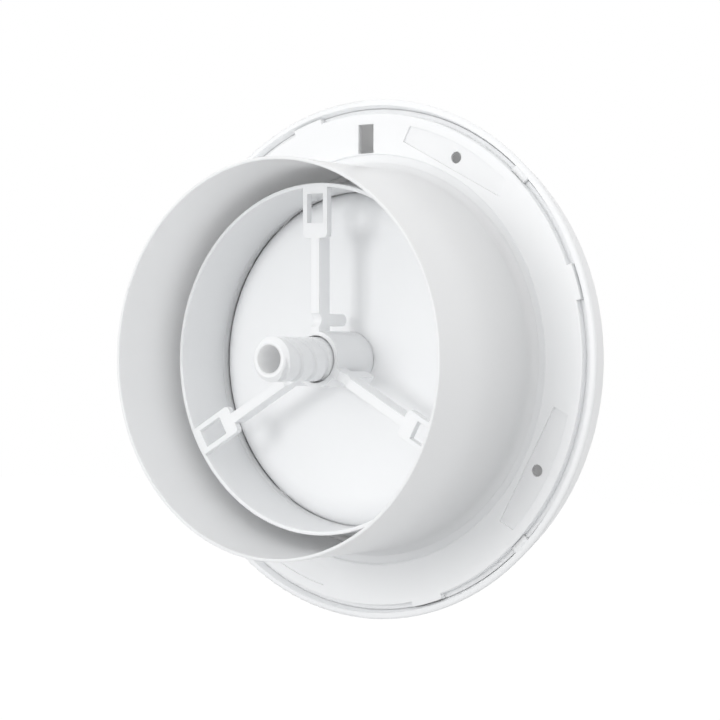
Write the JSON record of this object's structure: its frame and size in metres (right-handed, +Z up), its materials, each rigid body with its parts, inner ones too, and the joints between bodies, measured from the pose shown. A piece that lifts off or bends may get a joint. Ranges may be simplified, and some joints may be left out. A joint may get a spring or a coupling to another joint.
{
  "type": "ventilation disc valve",
  "caption": "Round white duct valve with a mounting collar, a bell-mouthed trim, an armed spider and a disc moved in and out by a threaded stem.",
  "frame": {"origin": "on the valve's axis, in the wall plane: the rear face of the flange", "axes": "+Y along the axis into the duct, -Y into the room, +Z up, +X to the left seen from the duct"},
  "size_m": [0.2034, 0.0839, 0.2034],
  "materials": {
    "white_plastic": "injection-moulded white polypropylene, smooth and lightly glossy"
  },
  "bodies": {
    "collar_body": {"mounting_collar": "white_plastic", "front_trim": "white_plastic", "spider_ring": "white_plastic"},
    "disc_body": {"valve_disc": "white_plastic"},
    "stem_body": {"threaded_stem": "white_plastic"}
  },
  "joints": [
    {"name": "disc_travel", "type": "slide", "parent": "collar_body", "child": "disc_body", "axis": [0, -1, 0], "range_m": [0, 0.022]},
    {"name": "stem_turn", "type": "hinge", "parent": "disc_body", "child": "stem_body", "pos_m": [0, 0, 0], "axis": [0, -1, 0], "range_deg": [0, 466]}
  ],
  "couplings": [
    {"joint": "stem_turn", "follows": "disc_travel", "rad_per_m": 369.6}
  ]
}
